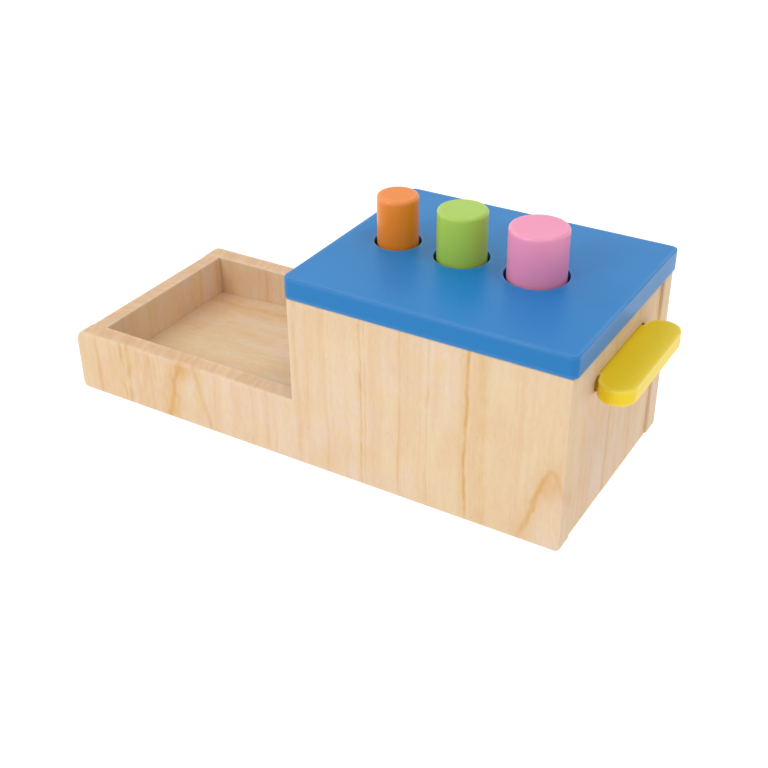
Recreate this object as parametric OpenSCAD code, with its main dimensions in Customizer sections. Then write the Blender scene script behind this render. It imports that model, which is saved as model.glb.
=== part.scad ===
// Wooden object permanence box: three pegs stand in the holes of a lid on a sliding gate.
// Pulling the gate by its handle drops the pegs on a ramp, which is also the floor of the tray.
// Origin at the centre of the base, +X towards the handle, +Z up.

/* [Side panels] */
// Height of the side panels at the box, from the ground to the lid
box_h = 115.5; // [100:0.5:140]
// Height of the side panels and the end wall at the tray
tray_h = 45; // [30:1:60]
// Length of the tray, from the panels' ends to the step
tray_len = 178; // [120:1:240]
// Thickness of the side panels
side_t = 13; // [10:0.5:15]
// Clear width between the two side panels
inner_w = 125; // [120:0.5:160]
// Radius of the panels' low corners, at the ground
low_corner_r = 4; // [2:0.5:12]
// Radius of the panels' top corners at the tray
tray_corner_r = 8; // [2:0.5:12]

/* [End walls and base] */
// Thickness of the end walls and the header
wall_t = 11.5; // [10:0.5:15]
// Depth of the tray's end wall behind the panels' ends
tray_recess = 5.5; // [0:0.5:12]
// Depth of the box's end wall behind the panels' ends
end_recess = 2; // [0:0.5:6]
// Thickness of the base board
base_t = 11.5; // [10:0.5:18]
// Depth of the header behind the step
header_recess = 2; // [0:0.5:6]
// Clear height of the way out, from the ramp to the header
mouth_h = 40; // [36:0.5:46]

/* [Lid] */
// Thickness of the lid
lid_t = 14; // [12:0.5:18]
// How far the lid stands out past the panels' ends
lid_over_x = 1.8; // [0:0.1:4]
// How far the lid stands out past the side panels
lid_over_y = 0.75; // [0:0.05:4]
// Radius of the lid's corners
lid_corner_r = 4.5; // [2:0.5:10]

/* [Pegs] */
// Diameter of the small peg
small_d = 25.5; // [20:0.5:28]
// Diameter of the medium peg
medium_d = 30.5; // [24:0.5:33]
// Diameter of the large peg
large_d = 35.5; // [28:0.5:38]
// Gap between a peg and its hole, all round
peg_gap = 1.75; // [1:0.05:2]
// Height of the pegs above the lid
peg_stand = 30.5; // [15:0.5:45]
// Width of the lid between two holes
hole_web = 12.5; // [8:0.5:14]
// Radius of the pegs' rounded edges
peg_edge_r = 2; // [0.5:0.1:4]

/* [Gate] */
// Distance from the lid's underside down to the gate's top
gate_drop = 19.5; // [8:0.5:26]
// Thickness of the gate board and its handle
gate_t = 10; // [8:0.5:12]
// Width of the gate board
gate_w = 66; // [50:1:76]
// How far the handle's ends reach past the slot's ends
handle_reach = 7; // [3:0.5:15]
// Width of the handle
handle_w = 22.5; // [16:0.5:30]
// Gap between the handle and the end wall
handle_gap = 0.8; // [0.3:0.1:3]
// Gap between the gate board and each end of its slot
slot_side_gap = 5; // [1:0.5:6]
// Gap above and below the gate board in its slot
slot_gap = 0.6; // [0.3:0.1:1.2]
// Gap between the gate board and the header
gate_end_gap = 1; // [0.5:0.1:2]
// How far the closed gate reaches past the small hole
gate_cover = 3; // [1:0.5:10]

/* [Stop bar and rails] */
// Width of the stop bar, along the gate
bar_w = 23; // [12:0.5:40]
// Thickness of the stop bar under the gate board
bar_t = 8; // [6:0.5:12]
// Depth of the rails, from the side panels inwards
rail_d = 14; // [10:0.5:18]
// Depth of the groove in the rails
groove_d = 8; // [5:0.5:9]
// Thickness of the rails above and below the groove
rail_lip = 5; // [3:0.5:5.5]
// Sliding gap of the stop bar in the grooves
bar_gap = 0.3; // [0.2:0.05:0.6]

/* [Ramp] */
// Rise of the ramp, from the tray's end wall to the box's end wall
ramp_rise = 20.5; // [10:0.5:28]
// Thickness of the ramp board
ramp_t = 4; // [3:0.5:6]
// Thickness of the wedges under the ramp
wedge_t = 12; // [8:0.5:20]
// Height of the wedges' thin ends
wedge_tip = 1.5; // [1:0.5:3]

/* [Dowels, pins and screws] */
// Diameter of the dowels in the corner joints
dowel_d = 6; // [4:0.5:7]
// Length of a dowel in the first board, the one that it enters from a face
dowel_face = 8; // [5:0.5:8.5]
// Length of a dowel in the second board, the one that it enters from an edge
dowel_edge = 16; // [10:0.5:20]
// Diameter of the pins that hold the rails
pin_d = 4; // [2:0.5:5]
// Length of a rail pin in the side panel
pin_bite = 6; // [4:0.5:8]
// Diameter of the stop bar's screws
screw_d = 3.5; // [3:0.1:4]
// How deep the stop bar's screws go into the gate board
screw_bite = 6; // [4:0.5:7]

/* [Hidden] */
$fn = 96;

// Overrun of every cut past the face that it starts from
over = 1;
// Room for glue at the end of a blind hole
glue_room = 0.5;
// Gap round a dowel, pin or screw in its hole
dowel_gap = 0.05;
// Gap between a peg's foot and the gate that it stands on
foot_gap = 0.3;
// Room that the open gate leaves beyond the large hole
open_room = 0.5;
// Room between the stop bar and the end wall when the gate is fully out
stop_room = 0.5;

// Outer and inner faces along the width
half_in = inner_w / 2;
half_out = half_in + side_t;

// Row of holes, measured from the step, each two with the same web between them
small_r = small_d / 2 + peg_gap;
medium_r = medium_d / 2 + peg_gap;
large_r = large_d / 2 + peg_gap;
gate_start = header_recess + wall_t + gate_end_gap;
small_from_step = gate_start + gate_cover + small_r;
medium_from_step = small_from_step + small_r + hole_web + medium_r;
large_from_step = medium_from_step + medium_r + hole_web + large_r;

// The box is as long as the open gate needs: the row, the stop bar and the end wall
row_end = large_from_step + large_r + open_room;
box_len = row_end + bar_w + stop_room + wall_t + end_recess;
side_len = tray_len + box_len;

// Outer and inner faces along the length
x_tray = -side_len / 2;
x_end = side_len / 2;
x_step = x_tray + tray_len;
small_x = x_step + small_from_step;
medium_x = x_step + medium_from_step;
large_x = x_step + large_from_step;
tray_wall_x = x_tray + tray_recess;
tray_in_x = tray_wall_x + wall_t;
end_out_x = x_end - end_recess;
end_in_x = end_out_x - wall_t;
header_x = x_step + header_recess;
header_in_x = header_x + wall_t;

// Ramp: from the base at the tray's end wall up to the box's end wall
floor_len = end_in_x - tray_in_x;
ramp_grade = ramp_rise / floor_len;
ramp_drop = ramp_t / cos(atan(ramp_grade));
ramp_top_at_header = base_t + ramp_drop + ramp_grade * (header_in_x - tray_in_x);
header_z = ramp_top_at_header + mouth_h;
wedge_x = tray_in_x + wedge_tip / ramp_grade;

// Gate and pegs: the pegs stand on the gate, and the stop bar lies under it
gate_x = x_step + gate_start;
gate_z = box_h - gate_drop - gate_t;
bar_z = gate_z - bar_t;
slot_h = gate_t + 2 * slot_gap;
slot_w = gate_w + 2 * slot_side_gap;
handle_x = end_out_x + handle_gap;
handle_r = handle_w / 2;
handle_len = slot_w + 2 * handle_reach;
peg_foot = gate_z + gate_t + foot_gap;
peg_len = box_h + lid_t + peg_stand - peg_foot;

// Rails with a groove for the ends of the stop bar
rail_in = half_in - rail_d;
groove_y = rail_in + groove_d;
groove_z = bar_z - bar_gap;
groove_h = bar_t + 2 * bar_gap;
rail_z = groove_z - rail_lip;
rail_h = groove_h + 2 * rail_lip;
rail_len = end_in_x - header_in_x;
bar_half = groove_y - bar_gap;

// Screws: the head is twice the shank and is sunk flush at forty-five degrees
screw_r = screw_d / 2;
screw_len = bar_t + screw_bite;
screw_head_r = screw_d;
screw_y = gate_w / 4;
screw_x = gate_x + bar_w / 2;
screw_slot_w = screw_d / 4;
screw_slot_h = screw_d / 4;

// Places of the fixings, as shares of the board that they lie along
base_dowel_shares = [0.06, 0.35, 0.65, 0.94];
tray_dowel_shares = [0.28, 0.72];
end_dowel_shares = [0.14, 0.45, 0.88];
header_dowel_shares = [0.3, 0.7];
lid_dowel_shares = [0.13, 0.49, 0.85];
rail_pin_shares = [0.12, 0.5, 0.88];
header_h = box_h - header_z;
base_dowel_xs = [for (s = base_dowel_shares) tray_in_x + s * floor_len];
tray_dowel_zs = [for (s = tray_dowel_shares) s * tray_h];
end_dowel_zs = [for (s = end_dowel_shares) s * box_h];
header_dowel_zs = [for (s = header_dowel_shares) header_z + s * header_h];
lid_dowel_xs = [for (s = lid_dowel_shares) x_step + s * (x_end - x_step)];
rail_pin_xs = [for (s = rail_pin_shares) header_in_x + s * rail_len];
rail_pin_z = bar_z + bar_t / 2;

// Colours
bare_wood = [0.90, 0.78, 0.62];
ply_wood = [0.85, 0.71, 0.53];
dowel_wood = [0.80, 0.64, 0.45];
steel = [0.72, 0.72, 0.70];
lid_blue = [0.13, 0.38, 0.72];
gate_yellow = [0.90, 0.76, 0.12];
peg_orange = [0.88, 0.42, 0.12];
peg_green = [0.50, 0.74, 0.20];
peg_pink = [0.90, 0.48, 0.66];

// Sliver between a square corner at the origin and its arc, for rounding an outline
module corner_sliver(r) {
    difference() {
        translate([-over, -over]) square(r + over);
        translate([r, r]) circle(r);
    }
}

// The same sliver at a corner whose outline lies towards sx and sy
module corner_at(x, y, sx, sy, r) {
    translate([x, y])
        mirror([sx < 0 ? 1 : 0, 0])
            mirror([0, sy < 0 ? 1 : 0])
                corner_sliver(r);
}

// Board that stands between the side panels, from one height to another
module cross_board(x, z, height, thick) {
    translate([x, -half_in, z]) cube([thick, inner_w, height]);
}

// Dowel across the joint between a side panel and a board's edge, on both sides
module side_dowels(x, z, room) {
    r = dowel_d / 2 + (room > 0 ? dowel_gap : 0);
    for (s = [-1, 1])
        translate([x, s * (half_in - dowel_edge - room), z])
            rotate([-s * 90, 0, 0])
                cylinder(r = r, h = dowel_edge + dowel_face + 2 * room);
}

// Dowels that stand in the side panels' top edges and enter the lid from below
module top_dowels(room) {
    r = dowel_d / 2 + (room > 0 ? dowel_gap : 0);
    for (s = [-1, 1], x = lid_dowel_xs)
        translate([x, s * (half_in + side_t / 2), box_h - dowel_edge - room])
            cylinder(r = r, h = dowel_edge + dowel_face + 2 * room);
}

// Pins through the back of the rails' grooves into the side panels
module groove_pins(room) {
    r = pin_d / 2 + (room > 0 ? dowel_gap : 0);
    for (s = [-1, 1], x = rail_pin_xs)
        translate([x, s * groove_y, rail_pin_z])
            rotate([-s * 90, 0, 0])
                cylinder(r = r, h = half_in - groove_y + pin_bite + room);
}

// All dowel holes of the side joints
module side_dowel_holes() {
    for (x = base_dowel_xs) side_dowels(x, base_t / 2, glue_room);
    for (z = tray_dowel_zs) side_dowels(tray_wall_x + wall_t / 2, z, glue_room);
    for (z = end_dowel_zs) side_dowels(end_in_x + wall_t / 2, z, glue_room);
    for (z = header_dowel_zs) side_dowels(header_x + wall_t / 2, z, glue_room);
}

// Outline of a side panel, seen from the front: low at the tray, high at the box
module side_outline() {
    difference() {
        polygon([[x_tray, 0], [x_end, 0], [x_end, box_h], [x_step, box_h],
            [x_step, tray_h], [x_tray, tray_h]]);
        corner_at(x_tray, 0, 1, 1, low_corner_r);
        corner_at(x_end, 0, -1, 1, low_corner_r);
        corner_at(x_tray, tray_h, 1, -1, tray_corner_r);
    }
}

// Side panel with its inner face at half_in on the side given by s
module side_panel(s) {
    y = s > 0 ? half_out : -half_in;
    difference() {
        translate([0, y, 0]) rotate([90, 0, 0]) linear_extrude(side_t) side_outline();
        side_dowel_holes();
        top_dowels(glue_room);
        groove_pins(glue_room);
    }
}

module front_panel() {
    color(bare_wood) side_panel(-1);
}

module back_panel() {
    color(bare_wood) side_panel(1);
}

module tray_end_wall() {
    color(bare_wood)
        difference() {
            cross_board(tray_wall_x, 0, tray_h, wall_t);
            side_dowel_holes();
        }
}

// Slot with round ends that the gate board slides through
module gate_slot() {
    r = slot_h / 2;
    translate([end_in_x - over, 0, gate_z + gate_t / 2])
        rotate([90, 0, 90])
            linear_extrude(wall_t + 2 * over) {
                square([slot_w - 2 * r, slot_h], center = true);
                for (s = [-1, 1]) translate([s * (slot_w / 2 - r), 0]) circle(r);
            }
}

module box_end_wall() {
    color(bare_wood)
        difference() {
            cross_board(end_in_x, 0, box_h, wall_t);
            side_dowel_holes();
            gate_slot();
        }
}

module base_board() {
    color(bare_wood)
        difference() {
            cross_board(tray_in_x, 0, base_t, floor_len);
            side_dowel_holes();
        }
}

module header_board() {
    color(bare_wood)
        difference() {
            cross_board(header_x, header_z, header_h, wall_t);
            side_dowel_holes();
        }
}

module lid_outline() {
    x0 = x_step - lid_over_x;
    x1 = x_end + lid_over_x;
    y1 = half_out + lid_over_y;
    difference() {
        translate([x0, -y1]) square([x1 - x0, 2 * y1]);
        corner_at(x0, -y1, 1, 1, lid_corner_r);
        corner_at(x1, -y1, -1, 1, lid_corner_r);
        corner_at(x1, y1, -1, -1, lid_corner_r);
        corner_at(x0, y1, 1, -1, lid_corner_r);
        translate([small_x, 0]) circle(small_r);
        translate([medium_x, 0]) circle(medium_r);
        translate([large_x, 0]) circle(large_r);
    }
}

module lid() {
    color(lid_blue)
        difference() {
            translate([0, 0, box_h]) linear_extrude(lid_t) lid_outline();
            top_dowels(glue_room);
        }
}

// Extrudes an outline drawn in X and Z across the width, from y0 to y1
module across(y0, y1) {
    translate([0, y1, 0]) rotate([90, 0, 0]) linear_extrude(y1 - y0) children();
}

module ramp_board() {
    color(ply_wood)
        across(-half_in, half_in)
            polygon([[tray_in_x, base_t], [end_in_x, base_t + ramp_rise],
                [end_in_x, base_t + ramp_rise + ramp_drop],
                [tray_in_x, base_t + ramp_drop]]);
}

module ramp_wedge(y0, y1) {
    color(bare_wood)
        across(y0, y1)
            polygon([[wedge_x, base_t], [end_in_x, base_t],
                [end_in_x, base_t + ramp_rise], [wedge_x, base_t + wedge_tip]]);
}

module ramp_wedge_front() {
    ramp_wedge(-half_in, -half_in + wedge_t);
}

module ramp_wedge_back() {
    ramp_wedge(half_in - wedge_t, half_in);
}

// Grooved rail on the side given by s
module gate_rail(s) {
    color(bare_wood)
        difference() {
            translate([header_in_x, s > 0 ? rail_in : -half_in, rail_z])
                cube([rail_len, rail_d, rail_h]);
            translate([header_in_x - over, s > 0 ? rail_in - over : -groove_y, groove_z])
                cube([rail_len + 2 * over, groove_d + over, groove_h]);
            groove_pins(glue_room);
        }
}

module gate_rail_front() {
    gate_rail(-1);
}

module gate_rail_back() {
    gate_rail(1);
}

module base_dowels() {
    color(dowel_wood) for (x = base_dowel_xs) side_dowels(x, base_t / 2, 0);
}

module tray_end_dowels() {
    color(dowel_wood) for (z = tray_dowel_zs) side_dowels(tray_wall_x + wall_t / 2, z, 0);
}

module box_end_dowels() {
    color(dowel_wood) for (z = end_dowel_zs) side_dowels(end_in_x + wall_t / 2, z, 0);
}

module header_dowels() {
    color(dowel_wood) for (z = header_dowel_zs) side_dowels(header_x + wall_t / 2, z, 0);
}

module lid_dowels() {
    color(dowel_wood) top_dowels(0);
}

module rail_pins() {
    color(dowel_wood) groove_pins(0);
}

// Screw from below, with its head flush with the stop bar's underside
module bar_screw(room) {
    r = screw_r + room;
    head_r = screw_head_r + room;
    translate([0, 0, bar_z]) {
        cylinder(r1 = head_r, r2 = r, h = head_r - r);
        cylinder(r = r, h = screw_len + (room > 0 ? glue_room : 0));
    }
}

module bar_screws(room) {
    for (s = [-1, 1]) translate([screw_x, s * screw_y, 0]) bar_screw(room);
}

// Gate board and handle, cut from one board
module gate_board() {
    color(gate_yellow)
        difference() {
            translate([0, 0, gate_z])
                linear_extrude(gate_t) {
                    translate([gate_x, -gate_w / 2])
                        square([handle_x + handle_r - gate_x, gate_w]);
                    translate([handle_x, -handle_len / 2 + handle_r])
                        square([handle_w, handle_len - handle_w]);
                    for (s = [-1, 1])
                        translate([handle_x + handle_r, s * (handle_len / 2 - handle_r)])
                            circle(handle_r);
                }
            bar_screws(dowel_gap);
        }
}

module stop_bar() {
    color(bare_wood)
        difference() {
            translate([gate_x, -bar_half, bar_z]) cube([bar_w, 2 * bar_half, bar_t]);
            bar_screws(dowel_gap);
        }
}

module stop_bar_screws() {
    color(steel)
        difference() {
            bar_screws(0);
            for (s = [-1, 1], a = [0, 90])
                translate([screw_x, s * screw_y, bar_z])
                    rotate([0, 0, a])
                        cube([screw_head_r, screw_slot_w, 2 * screw_slot_h], center = true);
        }
}

// Turned peg with rounded edges, standing on the gate at x
module peg(x, d) {
    translate([x, 0, peg_foot])
        rotate_extrude()
            difference() {
                square([d / 2, peg_len]);
                corner_at(d / 2, 0, -1, 1, peg_edge_r);
                corner_at(d / 2, peg_len, -1, -1, peg_edge_r);
            }
}

module small_peg() {
    color(peg_orange) peg(small_x, small_d);
}

module medium_peg() {
    color(peg_green) peg(medium_x, medium_d);
}

module large_peg() {
    color(peg_pink) peg(large_x, large_d);
}

front_panel();
back_panel();
tray_end_wall();
box_end_wall();
base_board();
header_board();
lid();
ramp_board();
ramp_wedge_front();
ramp_wedge_back();
gate_rail_front();
gate_rail_back();
base_dowels();
tray_end_dowels();
box_end_dowels();
header_dowels();
lid_dowels();
rail_pins();
gate_board();
stop_bar();
stop_bar_screws();
small_peg();
medium_peg();
large_peg();
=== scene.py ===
import random
from math import atan, pi, radians

import bmesh
import bpy
from mathutils import Matrix, Vector


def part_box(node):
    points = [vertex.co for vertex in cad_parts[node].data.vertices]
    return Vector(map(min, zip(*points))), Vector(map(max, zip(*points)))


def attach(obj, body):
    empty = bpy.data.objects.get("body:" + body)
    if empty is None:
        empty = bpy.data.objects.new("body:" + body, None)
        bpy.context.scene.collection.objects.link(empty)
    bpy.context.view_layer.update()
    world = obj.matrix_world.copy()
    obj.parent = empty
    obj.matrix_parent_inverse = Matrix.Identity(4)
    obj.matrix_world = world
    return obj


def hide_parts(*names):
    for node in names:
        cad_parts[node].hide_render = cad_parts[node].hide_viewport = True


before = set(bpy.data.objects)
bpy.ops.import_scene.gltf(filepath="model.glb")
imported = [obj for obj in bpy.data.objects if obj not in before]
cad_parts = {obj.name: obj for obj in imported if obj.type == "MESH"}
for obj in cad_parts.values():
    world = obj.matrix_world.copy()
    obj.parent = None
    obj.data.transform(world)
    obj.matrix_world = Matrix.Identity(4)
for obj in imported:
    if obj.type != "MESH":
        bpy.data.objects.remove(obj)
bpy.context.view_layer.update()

# Side panels: two long boards of pale wood, sawn to an L that is low along the tray and high along
# the box. The outer corners are rounded and the arrises sanded. Glue and hidden dowels hold the
# boards between them.
panel_thick = 0.013
header_recess = 0.002
tray_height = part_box("tray_end_wall")[1].z
step_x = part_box("header_board")[0].x - header_recess
low_corner_r = 0.004
tray_corner_r = 0.008
panel_arris = 0.0010
arris_fade = 0.0022
weld_gap = 1e-6
cream = (227, 203, 184)
straw = (227, 202, 164)
honey = (224, 187, 148)
streak_orange = (213, 163, 95)
end_grain_tan = (203, 164, 129)
rubbed_cream = (230, 209, 182)


def linear(shade):
    """Scene colour of a shade given as three numbers up to 255."""
    parts = [c / 255 for c in shade]
    return [c / 12.92 if c < 0.04045 else ((c + 0.055) / 1.055) ** 2.4 for c in parts] + [1.0]


def add(tree, kind, sockets, **settings):
    """One shader node; its sockets take values or other nodes' outputs."""
    node = tree.nodes.new(kind)
    for key, value in settings.items():
        setattr(node, key, value)
    for key, value in sockets.items():
        if isinstance(value, bpy.types.NodeSocket):
            tree.links.new(value, node.inputs[key])
        else:
            node.inputs[key].default_value = value
    return node


def sums(tree, operation, *values):
    """Output of a Math node."""
    return add(tree, "ShaderNodeMath", dict(enumerate(values)), operation=operation).outputs[0]


def blended(tree, share, first, second, how="MIX"):
    """Output of a colour mix."""
    node = add(tree, "ShaderNodeMix", {0: share, 6: first, 7: second}, data_type="RGBA",
        blend_type=how)
    return node.outputs[2]


def ranged(tree, value, low, high, to_low, to_high, smooth=False):
    """Value brought from one range to another, and held inside it."""
    node = add(tree, "ShaderNodeMapRange", {0: value, 1: low, 2: high, 3: to_low, 4: to_high},
        interpolation_type="SMOOTHSTEP" if smooth else "LINEAR")
    return node.outputs[0]


def noise(tree, vector, stretch, detail=2.0, rough=0.5):
    """Noise in a space that is stretched along the grain."""
    space = add(tree, "ShaderNodeMapping", {"Vector": vector, "Scale": stretch})
    node = add(tree, "ShaderNodeTexNoise", {"Vector": space.outputs[0], "Scale": 1.0,
        "Detail": detail, "Roughness": rough})
    return node.outputs[0]


def bare_wood(name, turn, shift, streaks, arches=(), tone=0.0):
    """Sanded pale wood. turn brings its grain to Z and shift moves the pattern.
    Each streak is a place across the grain, a width and a strength. Each arch is the tip of an
    upturned V in the grain: a place across, a height, the steepness of its sides, the roundness of
    its tip, a width and a strength."""
    material = bpy.data.materials.new(name)
    material.use_nodes = True
    tree = material.node_tree
    shader = tree.nodes["Principled BSDF"]
    coordinates = add(tree, "ShaderNodeTexCoord", {})
    wood = add(tree, "ShaderNodeMapping", {"Vector": coordinates.outputs["Object"],
        "Rotation": turn, "Location": shift}).outputs[0]
    apart = add(tree, "ShaderNodeSeparateXYZ", {0: wood})
    x, y, z = apart.outputs[0], apart.outputs[1], apart.outputs[2]

    wander = sums(tree, "SUBTRACT", noise(tree, wood, (18, 18, 12), 3.0), 0.5)
    shiver = sums(tree, "SUBTRACT", noise(tree, wood, (60, 60, 55), 2.0), 0.5)
    bend = sums(tree, "ADD", sums(tree, "MULTIPLY", wander, 0.007),
        sums(tree, "MULTIPLY", shiver, 0.0024))
    across = sums(tree, "ADD", x, sums(tree, "MULTIPLY_ADD", y, 0.3, bend))

    lines = 0.0
    for place, width, strength in streaks:
        off = sums(tree, "SUBTRACT", across, place)
        core = ranged(tree, sums(tree, "ABSOLUTE", off), 0.0, width, strength, 0.0, smooth=True)
        rising = ranged(tree, off, width * -4, width * 0.5, 0.0, strength * 0.45, smooth=True)
        falling = ranged(tree, off, width * -0.2, width * 0.8, 1.0, 0.0, smooth=True)
        lines = sums(tree, "ADD", lines, sums(tree, "MULTIPLY_ADD", rising, falling, core))
    patchy = ranged(tree, noise(tree, wood, (140, 140, 48), 3.0, 0.65), 0.34, 0.62, 0.25, 1.0)
    lines = sums(tree, "MULTIPLY", lines, patchy)
    for place, height, steep, round_tip, width, strength in arches:
        off = sums(tree, "SUBTRACT", across, place)
        reach = sums(tree, "SQRT", sums(tree, "MULTIPLY_ADD", off, off, round_tip ** 2))
        side = sums(tree, "MULTIPLY_ADD", reach, steep, z)
        below = sums(tree, "SUBTRACT", height + steep * round_tip, side)
        lean = sums(tree, "DIVIDE", sums(tree, "MULTIPLY", off, steep), reach)
        slant = sums(tree, "SQRT", sums(tree, "MULTIPLY_ADD", lean, lean, 1.0))
        away = sums(tree, "MULTIPLY_ADD", shiver, 0.004, sums(tree, "DIVIDE", below, slant))
        core = ranged(tree, sums(tree, "ABSOLUTE", away), 0.0, width, strength, 0.0, smooth=True)
        halo = ranged(tree, sums(tree, "ABSOLUTE", away), 0.0, width * 3, strength * 0.4, 0.0,
            smooth=True)
        down = sums(tree, "SUBTRACT", height, z)
        inside = sums(tree, "MULTIPLY", ranged(tree, away, -0.001, 0.002, 0.0, 1.0),
            ranged(tree, down, 0.006, 0.028, strength * 0.8, 0.0, smooth=True))
        fade = ranged(tree, down, 0.018, 0.050, 1.0, 0.75)
        arch = sums(tree, "MAXIMUM", core, sums(tree, "MAXIMUM", halo, inside))
        uneven = ranged(tree, off, -0.008, 0.008, 1.0, 0.6)
        arch = sums(tree, "MULTIPLY", arch, uneven)
        worn = sums(tree, "MULTIPLY", fade, sums(tree, "MULTIPLY_ADD", patchy, 0.5, 0.5))
        lines = sums(tree, "MULTIPLY_ADD", arch, worn, lines)
    lines = sums(tree, "MINIMUM", lines, 1.0)

    bands_space = add(tree, "ShaderNodeCombineXYZ", {0: across, 1: y, 2: z}).outputs[0]
    bands = noise(tree, bands_space, (150, 50, 5), 3.0, 0.62)
    broad = noise(tree, wood, (13, 13, 7), 2.0)
    blotch = noise(tree, wood, (60, 60, 24), 2.0)
    fibres = noise(tree, wood, (1300, 1300, 60), 3.0, 0.7)
    mottle = noise(tree, wood, (420, 420, 150), 3.0, 0.6)
    tint = noise(tree, wood, (95, 95, 55), 2.0)
    flecks = ranged(tree, noise(tree, wood, (950, 950, 190), 1.0), 0.60, 0.76, 0.0, 1.0)

    colour = blended(tree, ranged(tree, broad, 0.36, 0.64, 0.0, 1.0), linear(cream), linear(straw))
    colour = blended(tree, ranged(tree, tint, 0.42, 0.62, 0.0, 0.85), colour, linear(straw))
    colour = blended(tree, ranged(tree, blotch, 0.44, 0.70, 0.0, 0.55), colour, linear(honey))
    colour = blended(tree, ranged(tree, bands, 0.44, 0.76, 0.0, 0.8), colour, linear(honey))
    colour = blended(tree, lines, colour, linear(streak_orange))
    colour = blended(tree, sums(tree, "MULTIPLY", flecks, 0.26), colour, linear(streak_orange))

    grain_way = add(tree, "ShaderNodeMapping", {"Vector": coordinates.outputs["Normal"],
        "Rotation": turn}, vector_type="VECTOR").outputs[0]
    end_on = sums(tree, "ABSOLUTE", add(tree, "ShaderNodeSeparateXYZ", {0: grain_way}).outputs[2])
    end_on = ranged(tree, end_on, 0.75, 0.98, 0.0, 0.75, smooth=True)
    rings = noise(tree, bands_space, (260, 60, 60), 2.0)
    tan = blended(tree, ranged(tree, rings, 0.35, 0.7, 0.0, 0.8), linear(end_grain_tan),
        linear(honey))
    colour = blended(tree, end_on, colour, tan)

    light = ranged(tree, fibres, 0.25, 0.75, 0.97 - tone, 1.015 - tone)
    light = sums(tree, "MULTIPLY", light, ranged(tree, mottle, 0.3, 0.7, 0.975, 1.02))
    grey = add(tree, "ShaderNodeCombineColor", {0: light, 1: light, 2: light}).outputs[0]
    colour = blended(tree, 1.0, colour, grey, "MULTIPLY")
    arris = add(tree, "ShaderNodeAttribute", {}, attribute_name="arris").outputs["Fac"]
    edge_wear_and_highlight = sums(tree, "MULTIPLY", arris, ranged(tree, blotch, 0.3, 0.7, 0.05, 0.30))
    colour = blended(tree, edge_wear_and_highlight, colour, linear(rubbed_cream))
    tree.links.new(colour, shader.inputs["Base Color"])

    dull = ranged(tree, fibres, 0.3, 0.7, 0.70, 0.58)
    dull = sums(tree, "MULTIPLY_ADD", arris, -0.06, dull)
    tree.links.new(dull, shader.inputs["Roughness"])
    height = sums(tree, "MULTIPLY_ADD", flecks, -0.6, fibres)
    bump = add(tree, "ShaderNodeBump", {"Strength": 0.16, "Distance": 0.00012, "Height": height})
    tree.links.new(bump.outputs[0], shader.inputs["Normal"])
    shader.inputs["Specular IOR Level"].default_value = 0.28
    return material


def plate(points, thickness, rounded=(), steps=8):
    """Solid plate from an outline's corners, grown by a vector. rounded lists radii, each with the
    corners that have it."""
    bm = bmesh.new()
    corners = [bm.verts.new(p) for p in points]
    bm.faces.new(corners)
    for radius, chosen in rounded:
        bmesh.ops.bevel(bm, geom=[corners[i] for i in chosen], affect="VERTICES",
            offset=radius, segments=steps, profile=0.5, material=-1)
    bmesh.ops.remove_doubles(bm, verts=bm.verts, dist=weld_gap)
    grow(bm, thickness)
    return bm


def grow(bm, thickness):
    """Extrudes the flat faces by a vector and turns all faces outwards."""
    grown = bmesh.ops.extrude_face_region(bm, geom=bm.faces[:])
    moved = [v for v in grown["geom"] if isinstance(v, bmesh.types.BMVert)]
    bmesh.ops.translate(bm, verts=moved, vec=thickness)
    bmesh.ops.recalc_face_normals(bm, faces=bm.faces)


def sand(bm, radius, steps=4, chosen=lambda edge: True):
    """Rounds the sharp outer edges, and leaves their faces marked smooth."""
    bm.normal_update()
    sharp = [e for e in bm.edges if e.is_convex and e.calc_face_angle(0.0) > radians(30)]
    made = bmesh.ops.bevel(bm, geom=[e for e in sharp if chosen(e)], affect="EDGES",
        offset=radius, segments=steps, profile=0.5, material=-1, clamp_overlap=True)
    for face in made["faces"]:
        face.smooth = True


def mark_arrises(bm, fade):
    """Writes 1 on the rounded edges and 0 a little way inside each sawn face."""
    mark = bm.verts.layers.float.new("arris")
    for vert in bm.verts:
        vert[mark] = 1.0
    sawn = [f for f in bm.faces if not f.smooth]
    bmesh.ops.inset_region(bm, faces=sawn, thickness=fade, use_boundary=True,
        use_even_offset=True)
    for face in sawn:
        for vert in face.verts:
            vert[mark] = 0.0


def piece(name, bm, material, body, slot, *nodes):
    """Finished piece in place, which stands for its CAD nodes."""
    mesh = bpy.data.meshes.new(name)
    bm.to_mesh(mesh)
    bm.free()
    mesh.shade_smooth()
    mesh.materials.append(material)
    made = bpy.data.objects.new(name, mesh)
    bpy.context.scene.collection.objects.link(made)
    shading = made.modifiers.new("flat_faces_stay_flat", "WEIGHTED_NORMAL")
    shading.keep_sharp = True
    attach(made, body)
    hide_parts(*nodes)


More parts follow.
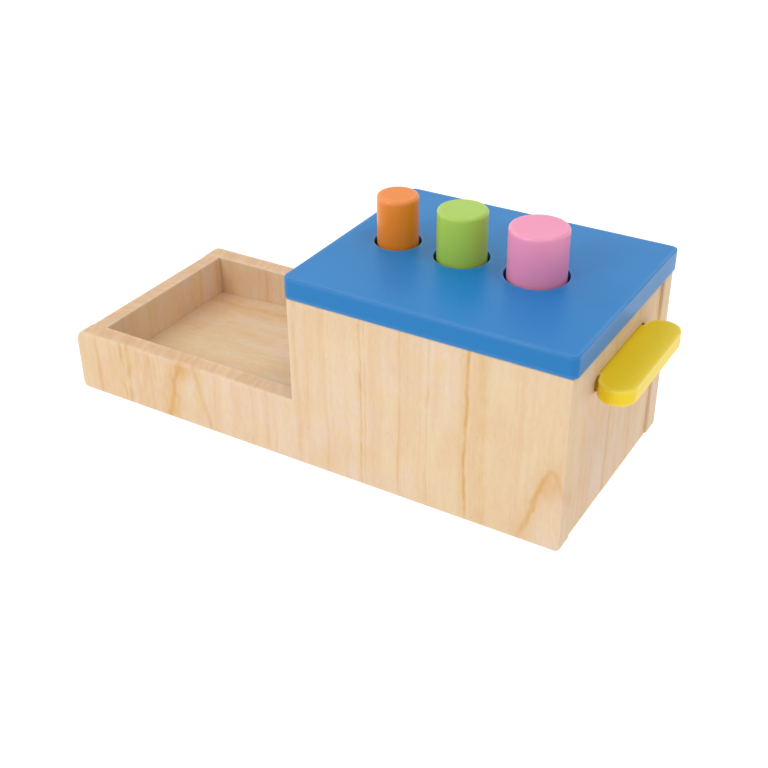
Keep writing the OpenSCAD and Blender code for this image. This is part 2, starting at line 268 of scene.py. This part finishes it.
front_streaks = [(-0.115, 0.055, 0.26), (-0.162, 0.0032, 0.36), (-0.1395, 0.0020, 0.42),
    (-0.1345, 0.0030, 0.30), (-0.116, 0.0012, 0.15), (-0.034, 0.0020, 0.3), (-0.022, 0.0024, 0.3),
    (0.003, 0.0034, 0.3), (0.024, 0.002, 0.18), (0.0485, 0.0014, 0.5), (0.0515, 0.0010, 0.3),
    (0.0745, 0.0012, 0.45), (0.094, 0.0010, 0.3), (0.1185, 0.0018, 0.68), (0.1285, 0.0062, 0.34),
    (0.148, 0.0012, 0.12)]
front_arches = [(-0.0850, 0.052, 3.8, 0.005, 0.0044, 1.0), (0.1735, 0.053, 3.4, 0.005, 0.0042, 1.0)]
back_streaks = [(-0.153, 0.0026, 0.3), (-0.1195, 0.0022, 0.32), (-0.072, 0.0026, 0.4),
    (-0.047, 0.0014, 0.55), (-0.011, 0.0022, 0.4), (0.036, 0.0018, 0.6), (0.061, 0.0032, 0.4),
    (0.112, 0.0014, 0.5), (0.139, 0.0022, 0.45), (0.166, 0.0016, 0.3)]
back_arches = [(0.087, 0.082, 3.8, 0.004, 0.003, 0.7), (-0.093, 0.036, 2.8, 0.004, 0.003, 0.55)]
for side, streaks, arches in (("front", front_streaks, front_arches),
        ("back", back_streaks, back_arches)):
    low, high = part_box(side + "_panel")
    outline = [(low.x, low.y, 0), (high.x, low.y, 0), (high.x, low.y, high.z),
        (step_x, low.y, high.z), (step_x, low.y, tray_height), (low.x, low.y, tray_height)]
    bm = plate(outline, (0, panel_thick, 0), ((low_corner_r, (0, 1)), (tray_corner_r, (5,))))
    sand(bm, panel_arris)
    mark_arrises(bm, arris_fade)
    seen_face = low.y if side == "front" else high.y - panel_thick
    material = bare_wood(side + "_panel_wood", (0, 0, 0), (0, -seen_face, 0), streaks, arches)
    piece(side + "_side_panel", bm, material, "box", "bare_wood", side + "_panel")

# End walls: boards that stand between the panels with their grain upright, the tray's a little
# behind the panels' ends and the box's with a slot for the gate, cut through and round at its ends.
# They are glued and dowelled in place.
wall_arris = 0.0009
joint_arris = 0.0003
slot_arris = 0.0006


def squared_board(low, high, ends=1):
    """Board between two corners, sanded along and only broken at the ends that meet others."""
    bm = bmesh.new()
    bmesh.ops.create_cube(bm, size=1.0)
    bmesh.ops.scale(bm, vec=high - low, verts=bm.verts)
    bmesh.ops.translate(bm, vec=(low + high) / 2, verts=bm.verts)
    runs = Vector((0, 0, 0))
    runs[ends] = 1.0
    along = lambda e: abs((e.verts[0].co - e.verts[1].co).normalized().dot(runs)) > 0.9
    sand(bm, wall_arris, 3, along)
    sand(bm, joint_arris, 2)
    return bm


def scattered_streaks(seed, low, high, count, strength=0.5):
    """Streaks for a board that the photo hardly shows."""
    thin, wide = 0.0012, 0.003
    draw = random.Random(seed)
    return [(draw.uniform(low, high), draw.uniform(thin, wide),
        draw.uniform(0.4, 1.0) * strength) for _ in range(count)]


upright_on_x = (0, 0, pi / 2)
low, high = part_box("tray_end_wall")
bm = squared_board(low, high)
mark_arrises(bm, arris_fade)
material = bare_wood("tray_wall_wood", upright_on_x, (0, 0, 0.3),
    [(-0.085, 0.003, 0.25), (-0.106, 0.002, 0.3), (-0.028, 0.004, 0.2), (-0.001, 0.002, 0.3)],
    [(-0.071, 0.334, 3.8, 0.003, 0.003, 0.38)])
piece("tray_end_board", bm, material, "box", "bare_wood", "tray_end_wall")

low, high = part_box("box_end_wall")
slot_height = 0.0112
slot_width = 0.076
gate_low, gate_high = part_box("gate_board")
slot_z = (gate_low.z + gate_high.z) / 2


def holed_plate(corners, rings, thickness, radius=0.0, steps=8):
    """Plate like plate's, with closed rings of edges left open in it."""
    bm = bmesh.new()
    verts = [bm.verts.new(p) for p in corners]
    bm.faces.new(verts)
    if radius:
        bmesh.ops.bevel(bm, geom=verts, affect="VERTICES", offset=radius, segments=steps,
            profile=0.5, material=-1)
    bmesh.ops.delete(bm, geom=bm.faces[:], context="FACES_ONLY")
    for ring in rings:
        ring(bm)
    bmesh.ops.triangle_fill(bm, edges=bm.edges[:], use_beauty=True)
    inner = [e for e in bm.edges if len(e.link_faces) == 2]
    bmesh.ops.dissolve_limit(bm, angle_limit=0.01, edges=inner, verts=[])
    grow(bm, thickness)
    return bm


def slot_ring(bm):
    """Outline of the end wall's slot."""
    half = slot_width / 2
    top = slot_height / 2
    verts = [bm.verts.new((low.x, y, slot_z + z)) for y, z in
        ((-half, -top), (half, -top), (half, top), (-half, top))]
    bm.faces.new(verts)
    bmesh.ops.bevel(bm, geom=verts, affect="VERTICES", offset=top, segments=8, profile=0.5,
        material=-1)
    bmesh.ops.remove_doubles(bm, verts=bm.verts, dist=weld_gap)
    bmesh.ops.delete(bm, geom=bm.faces[:], context="FACES_ONLY")


corners = [(low.x, low.y, low.z), (low.x, high.y, low.z), (low.x, high.y, high.z),
    (low.x, low.y, high.z)]
bm = holed_plate(corners, [slot_ring], (high.x - low.x, 0, 0))
sand(bm, slot_arris, 3)
mark_arrises(bm, arris_fade)
material = bare_wood("box_wall_wood", upright_on_x, (0, 0, 0.7),
    scattered_streaks(8, -0.062, 0.062, 7, 0.45))
piece("box_end_board", bm, material, "box", "bare_wood", "box_end_wall")

# Base board: one wide board with its grain along the toy, flush with the panels' lower edges. It
# closes the toy below and carries the ramp, and is glued and dowelled between the panels.
grain_along = (0, -pi / 2, 0)
low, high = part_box("base_board")
bm = squared_board(low, high, ends=0)
mark_arrises(bm, arris_fade)
material = bare_wood("base_wood", grain_along, (0, 0.4, 0.2),
    scattered_streaks(5, -0.02, 0.02, 3, 0.4))
piece("base", bm, material, "box", "bare_wood", "base_board")

# Header board: a short board across the box above the way out, with its grain upright. It hides
# the pegs, closes the box above the tray and ties the two panels together.
low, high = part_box("header_board")
bm = squared_board(low, high)
mark_arrises(bm, arris_fade)
material = bare_wood("header_wood", upright_on_x, (0, 0, 1.1),
    scattered_streaks(12, -0.062, 0.062, 6, 0.5))
piece("header", bm, material, "box", "bare_wood", "header_board")

# Ramp: one sheet of thin plywood from the tray's end wall up to the box's end wall, with its grain
# down the slope. It is the floor of tray and box in one. Two long tapered wedges under its edges
# carry it, all glued to the base and the panels.
wedge_tip = 0.0015
thin_fade = 0.001
ramp_streaks = [(0.115, 0.09, 0.16), (0.1162, 0.0022, 0.3), (0.1245, 0.003, 0.3),
    (0.1085, 0.0016, 0.25)]
low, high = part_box("ramp_board")
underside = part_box("ramp_wedge_front")[1].z
slope = atan((underside - low.z) / (high.x - low.x))
outline = [(low.x, low.y, low.z), (high.x, low.y, underside), (high.x, low.y, high.z),
    (low.x, low.y, low.z + high.z - underside)]
bm = plate(outline, (0, high.y - low.y, 0))
sand(bm, joint_arris, 2)
mark_arrises(bm, arris_fade)
material = bare_wood("ramp_plywood", (0, slope - pi / 2, 0), (0, 0.4, 0.2), ramp_streaks,
    tone=0.11)
piece("ramp", bm, material, "box", "plywood", "ramp_board")
for side in ("front", "back"):
    low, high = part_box("ramp_wedge_" + side)
    outline = [(low.x, low.y, low.z), (high.x, low.y, low.z), (high.x, low.y, high.z),
        (low.x, low.y, low.z + wedge_tip)]
    bm = plate(outline, (0, high.y - low.y, 0))
    sand(bm, joint_arris, 2)
    mark_arrises(bm, thin_fade)
    material = bare_wood(side + "_wedge_wood", grain_along, (0, 1.2, 0.9),
        scattered_streaks(33, 0.0, 0.05, 3, 0.4))
    piece(side + "_ramp_wedge", bm, material, "box", "bare_wood", "ramp_wedge_" + side)

# Rails: two grooved strips under the lid, pinned and glued to the panels. The ends of the gate's
# stop bar run in their grooves.
groove_deep = 0.008
lip = 0.005
rail_arris = 0.0004
for side, inward in (("front", 1), ("back", -1)):
    low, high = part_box("gate_rail_" + side)
    back = low.y if inward > 0 else high.y
    face = high.y if inward > 0 else low.y
    bottom = face - inward * groove_deep
    outline = [(low.x, back, low.z), (low.x, face, low.z), (low.x, face, low.z + lip),
        (low.x, bottom, low.z + lip), (low.x, bottom, high.z - lip), (low.x, face, high.z - lip),
        (low.x, face, high.z), (low.x, back, high.z)]
    bm = plate(outline, (high.x - low.x, 0, 0))
    sand(bm, rail_arris, 2)
    mark_arrises(bm, thin_fade)
    material = bare_wood(side + "_rail_wood", grain_along, (0, 1.6, 1.3),
        scattered_streaks(41, 0.07, 0.09, 3, 0.4))
    piece(side + "_rail", bm, material, "box", "bare_wood", "gate_rail_" + side)

# Stop bar: a hardwood bar across the gate's inner end. Two countersunk screws hold it from below,
# zinc plated with a cross slot, which are the CAD solids with a better finish.
bar_fade = 0.0015
low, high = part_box("stop_bar")
bm = squared_board(low, high)
mark_arrises(bm, bar_fade)
material = bare_wood("stop_bar_wood", (pi / 2, 0, 0), (0, 0, 0.5),
    scattered_streaks(50, 0.01, 0.036, 2, 0.4))
piece("gate_stop_bar", bm, material, "gate", "bare_wood", "stop_bar")


def zinc(name):
    """Zinc plated steel, slightly mottled and turned."""
    material = bpy.data.materials.new(name)
    material.use_nodes = True
    tree = material.node_tree
    shader = tree.nodes["Principled BSDF"]
    space = add(tree, "ShaderNodeTexCoord", {}).outputs["Object"]
    spots = noise(tree, space, (900, 900, 900), 3.0)
    marks = noise(tree, space, (3000, 3000, 400), 2.0)
    colour = blended(tree, ranged(tree, spots, 0.35, 0.65, 0.0, 1.0), linear((198, 198, 194)),
        linear((178, 180, 180)))
    tree.links.new(colour, shader.inputs["Base Color"])
    tree.links.new(ranged(tree, marks, 0.3, 0.7, 0.28, 0.45), shader.inputs["Roughness"])
    bump = add(tree, "ShaderNodeBump", {"Strength": 0.2, "Distance": 0.00005, "Height": marks})
    tree.links.new(bump.outputs[0], shader.inputs["Normal"])
    shader.inputs["Metallic"].default_value = 1.0
    return material


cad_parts["stop_bar_screws"].material_slots[0].material = zinc("screw_zinc")

# Gate board: the sliding floor under the pegs and its handle, sawn from one board. The neck runs
# through the slot and the handle's ends are round. Two coats of satin yellow paint.
gate_yellow = (242, 211, 22)
neck_half = 0.033
gate_arris = 0.0018
paint_fade = 0.002
handle_gap = 0.0008
handle_low_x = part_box("box_end_wall")[1].x + handle_gap
low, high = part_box("gate_board")
handle_r = (high.x - handle_low_x) / 2


def satin_paint(name, shade, turn, edge=0.05, gloss=0.31, level=1.0, upright=1.0, shine=0.3):
    """Satin paint on wood: the grain shows faintly under it, and edges are a little thin and paler.
    On rounded rims that paleness also paints a highlight. level and upright lighten or darken the
    level
    and the upright faces: painted light and shade for how the light falls on them."""
    material = bpy.data.materials.new(name)
    material.use_nodes = True
    tree = material.node_tree
    shader = tree.nodes["Principled BSDF"]
    coordinates = add(tree, "ShaderNodeTexCoord", {})
    wood = add(tree, "ShaderNodeMapping", {"Vector": coordinates.outputs["Object"],
        "Rotation": turn}).outputs[0]
    cloud = noise(tree, wood, (18, 18, 7), 2.0)
    grain = noise(tree, wood, (420, 420, 16), 3.0, 0.6)
    peel = noise(tree, wood, (700, 700, 700), 1.0)
    plain = linear(shade)
    dark = [c * 0.94 for c in plain[:3]] + [1.0]
    pale = [c + (1.0 - c) * edge for c in plain[:3]] + [1.0]
    colour = blended(tree, ranged(tree, cloud, 0.3, 0.7, 0.0, 1.0), plain, dark)
    colour = blended(tree, ranged(tree, grain, 0.55, 0.75, 0.0, 0.25), colour, dark)
    # Paler edges: thin worn paint, and on the pegs' rims a painted highlight.
    arris = add(tree, "ShaderNodeAttribute", {}, attribute_name="arris").outputs["Fac"]
    edge_wear_and_highlight = sums(tree, "MULTIPLY", arris, ranged(tree, cloud, 0.35, 0.7, 0.3, 1.0))
    colour = blended(tree, edge_wear_and_highlight, colour, pale)
    # Painted light and shade: level and upright faces made lighter or darker for how the light
    # falls on them.
    facing = add(tree, "ShaderNodeSeparateXYZ", {0: coordinates.outputs["Normal"]}).outputs[2]
    painted_face_shade = ranged(tree, sums(tree, "ABSOLUTE", facing), 0.3, 0.9, upright, level)
    grey = add(tree, "ShaderNodeCombineColor", {0: painted_face_shade, 1: painted_face_shade, 2: painted_face_shade}).outputs[0]
    colour = blended(tree, 1.0, colour, grey, "MULTIPLY")
    tree.links.new(colour, shader.inputs["Base Color"])
    dull = ranged(tree, cloud, 0.3, 0.7, gloss - 0.03, gloss + 0.05)
    tree.links.new(dull, shader.inputs["Roughness"])
    height = sums(tree, "MULTIPLY_ADD", grain, 1.6, peel)
    bump = add(tree, "ShaderNodeBump", {"Strength": 0.06, "Distance": 0.00005, "Height": height})
    tree.links.new(bump.outputs[0], shader.inputs["Normal"])
    shader.inputs["Specular IOR Level"].default_value = shine
    return material


outline = [(low.x, -neck_half, low.z), (handle_low_x, -neck_half, low.z),
    (handle_low_x, low.y, low.z), (high.x, low.y, low.z), (high.x, high.y, low.z),
    (handle_low_x, high.y, low.z), (handle_low_x, neck_half, low.z), (low.x, neck_half, low.z)]
bm = plate(outline, (0, 0, high.z - low.z), ((handle_r, (2, 3, 4, 5)),), steps=12)
sand(bm, gate_arris, 5)
mark_arrises(bm, paint_fade)
# level and upright here are painted light: the gate's faces made a little lighter, the upright ones
# most.
material = satin_paint("satin_yellow", gate_yellow, grain_along, 0.10, level=1.01,
    upright=1.07)
piece("yellow_gate", bm, material, "gate", "yellow_paint", "gate_board")

# Lid: one board that lies on the panels and end wall, a little larger than the box all round, with
# round corners and three holes. Dowels hold it from below. Satin blue paint all over.
lid_blue = (10, 121, 190)
lid_corner_r = 0.0045
lid_arris = 0.0009
hole_arris = 0.0007
hole_gap = 0.00175
rim_band = 0.008
touch = 1e-4
low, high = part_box("lid")
holes = []
for node in ("small_peg", "medium_peg", "large_peg"):
    peg_low, peg_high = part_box(node)
    holes.append(((peg_low.x + peg_high.x) / 2, (peg_high.x - peg_low.x) / 2 + hole_gap))


def hole_ring(x, radius):
    """Maker of one round hole's outline."""
    return lambda bm: bmesh.ops.create_circle(bm, cap_ends=False, segments=96, radius=radius,
        matrix=Matrix.Translation((x, 0, low.z)))


corners = [(low.x, low.y, low.z), (high.x, low.y, low.z), (high.x, high.y, low.z),
    (low.x, high.y, low.z)]
bm = holed_plate(corners, [hole_ring(x, r) for x, r in holes], (0, 0, high.z - low.z),
    lid_corner_r, 10)
at_hole = lambda e: all(min(abs((v.co.xy - Vector((x, 0))).length - r) for x, r in holes) < touch
    for v in e.verts)
at_rim = lambda e: all(min(v.co.x - low.x, high.x - v.co.x, v.co.y - low.y, high.y - v.co.y)
    < rim_band for v in e.verts)
sand(bm, hole_arris, 3, at_hole)
sand(bm, lid_arris, 5, at_rim)
mark_arrises(bm, paint_fade)
# upright here is painted shade: the lid's upright faces made darker.
material = satin_paint("satin_blue", lid_blue, grain_along, 0.06, 0.32, upright=0.95)
piece("blue_lid", bm, material, "box", "blue_paint", "lid")

# Pegs: three turned hardwood pegs of growing thickness with rounded ends, loose in their holes, in
# satin orange, green and pink.
peg_edge_r = 0.002
peg_fade = 0.0014
for node, body, name, shade, slot in (
        ("small_peg", "small_peg", "orange", (239, 133, 22), "orange_paint"),
        ("medium_peg", "medium_peg", "green", (166, 202, 74), "green_paint"),
        ("large_peg", "large_peg", "pink", (240, 147, 181), "pink_paint")):
    low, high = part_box(node)
    middle = (low + high) / 2
    radius = (high.x - low.x) / 2
    bm = bmesh.new()
    bmesh.ops.create_cone(bm, cap_ends=True, cap_tris=False, segments=96, radius1=radius,
        radius2=radius, depth=high.z - low.z, matrix=Matrix.Translation(middle))
    sand(bm, peg_edge_r, 6)
    mark_arrises(bm, peg_fade)
    # edge 0.07 paints a highlight along the rims; level and upright paint shade on the tops and
    # light on the sides.
    material = satin_paint("satin_" + name, shade, (0, 0, 0), 0.07, level=0.96, upright=1.10,
        shine=0.42)
    piece(name + "_peg", bm, material, body, slot, node)

# Dowels and pins: beech pegs glued in the joints, all hidden once the box is together. They are
# the CAD solids with a finish of their own.
dowel_wood = bare_wood("dowel_beech", (0, 0, 0), (0.7, 0.2, 0.1), [], tone=0.12)
for node in ("base_dowels", "tray_end_dowels", "box_end_dowels", "header_dowels", "lid_dowels",
        "rail_pins"):
    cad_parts[node].material_slots[0].material = dowel_wood

# Studio: a plain white floor, even white light all round, a soft lamp in front and two smaller ones
# above and at the left that light the pegs' rims, with the camera where the photo's was.
camera_place = (0.37564, -0.58666, 0.44891)
camera_turn, camera_tilt, camera_roll = radians(31.308), radians(58.160), radians(-0.622)
camera_lens = 57.272
lens = bpy.data.cameras.new("studio_camera")
lens.sensor_width = 36.0
lens.lens = camera_lens
lens.clip_start = 0.01
camera = bpy.data.objects.new("studio_camera", lens)
camera.matrix_world = (Matrix.Translation(camera_place) @ Matrix.Rotation(camera_turn, 4, "Z")
    @ Matrix.Rotation(camera_tilt, 4, "X") @ Matrix.Rotation(camera_roll, 4, "Z"))
bpy.context.scene.collection.objects.link(camera)
bpy.context.scene.camera = camera

floor_radius = 8.0
floor_mesh = bpy.data.meshes.new("studio_floor")
bm = bmesh.new()
bmesh.ops.create_circle(bm, cap_ends=True, segments=96, radius=floor_radius)
bm.to_mesh(floor_mesh)
bm.free()
floor = bpy.data.objects.new("studio_floor", floor_mesh)
bpy.context.scene.collection.objects.link(floor)
floor_paint = bpy.data.materials.new("floor_white")
floor_paint.use_nodes = True
shader = floor_paint.node_tree.nodes["Principled BSDF"]
shader.inputs["Base Color"].default_value = (0.3, 0.3, 0.3, 1.0)
shader.inputs["Emission Color"].default_value = (1.0, 1.0, 1.0, 1.0)
shader.inputs["Emission Strength"].default_value = 0.9
shader.inputs["Roughness"].default_value = 0.9
floor_mesh.materials.append(floor_paint)

bright_side = Vector((-0.62, 0.54, 0.62)).normalized()
dim_glow, bright_glow = 0.46, 0.98
world = bpy.data.worlds.new("studio_light")
world.use_nodes = True
tree = world.node_tree
aim = add(tree, "ShaderNodeVectorMath", {0: add(tree, "ShaderNodeTexCoord", {}).outputs[0],
    1: bright_side}, operation="DOT_PRODUCT").outputs["Value"]
glow = ranged(tree, aim, -0.5, 1.0, dim_glow, bright_glow, smooth=True)
tree.links.new(glow, tree.nodes["Background"].inputs["Strength"])
tree.nodes["Background"].inputs["Color"].default_value = (1.0, 1.0, 1.0, 1.0)
bpy.context.scene.world = world

# Each lamp has a place, the way that its long side runs, a length, a width and a power. All of them
# look at the middle of the toy.
lamp_target = Vector((0.0, 0.0, 0.06))
lamps = (("front_lamp", (-0.45, -1.35, 1.05), (1, 0, 0), 0.5, 0.4, 7.2),
    ("top_lamp", (0.72, 0.02, 1.6), (0.57, 0.82, 0), 0.5, 0.2, 4.8),
    ("left_lamp", (-1.2, 0.0, 1.2), (0.45, -0.6, 0.5), 0.3, 0.2, 2.0))
for name, place, run, length, width, power in lamps:
    lamp_data = bpy.data.lights.new(name, "AREA")
    lamp_data.shape = "RECTANGLE"
    lamp_data.size = length
    lamp_data.size_y = width
    lamp_data.energy = power
    lamp = bpy.data.objects.new(name, lamp_data)
    behind = (Vector(place) - lamp_target).normalized()
    upwards = behind.cross(Vector(run)).normalized()
    turned = Matrix((upwards.cross(behind), upwards, behind)).transposed()
    lamp.matrix_world = Matrix.Translation(place) @ turned.to_4x4()
    bpy.context.scene.collection.objects.link(lamp)

bpy.context.scene.view_settings.view_transform = "Standard"
bpy.context.scene.view_settings.look = "None"
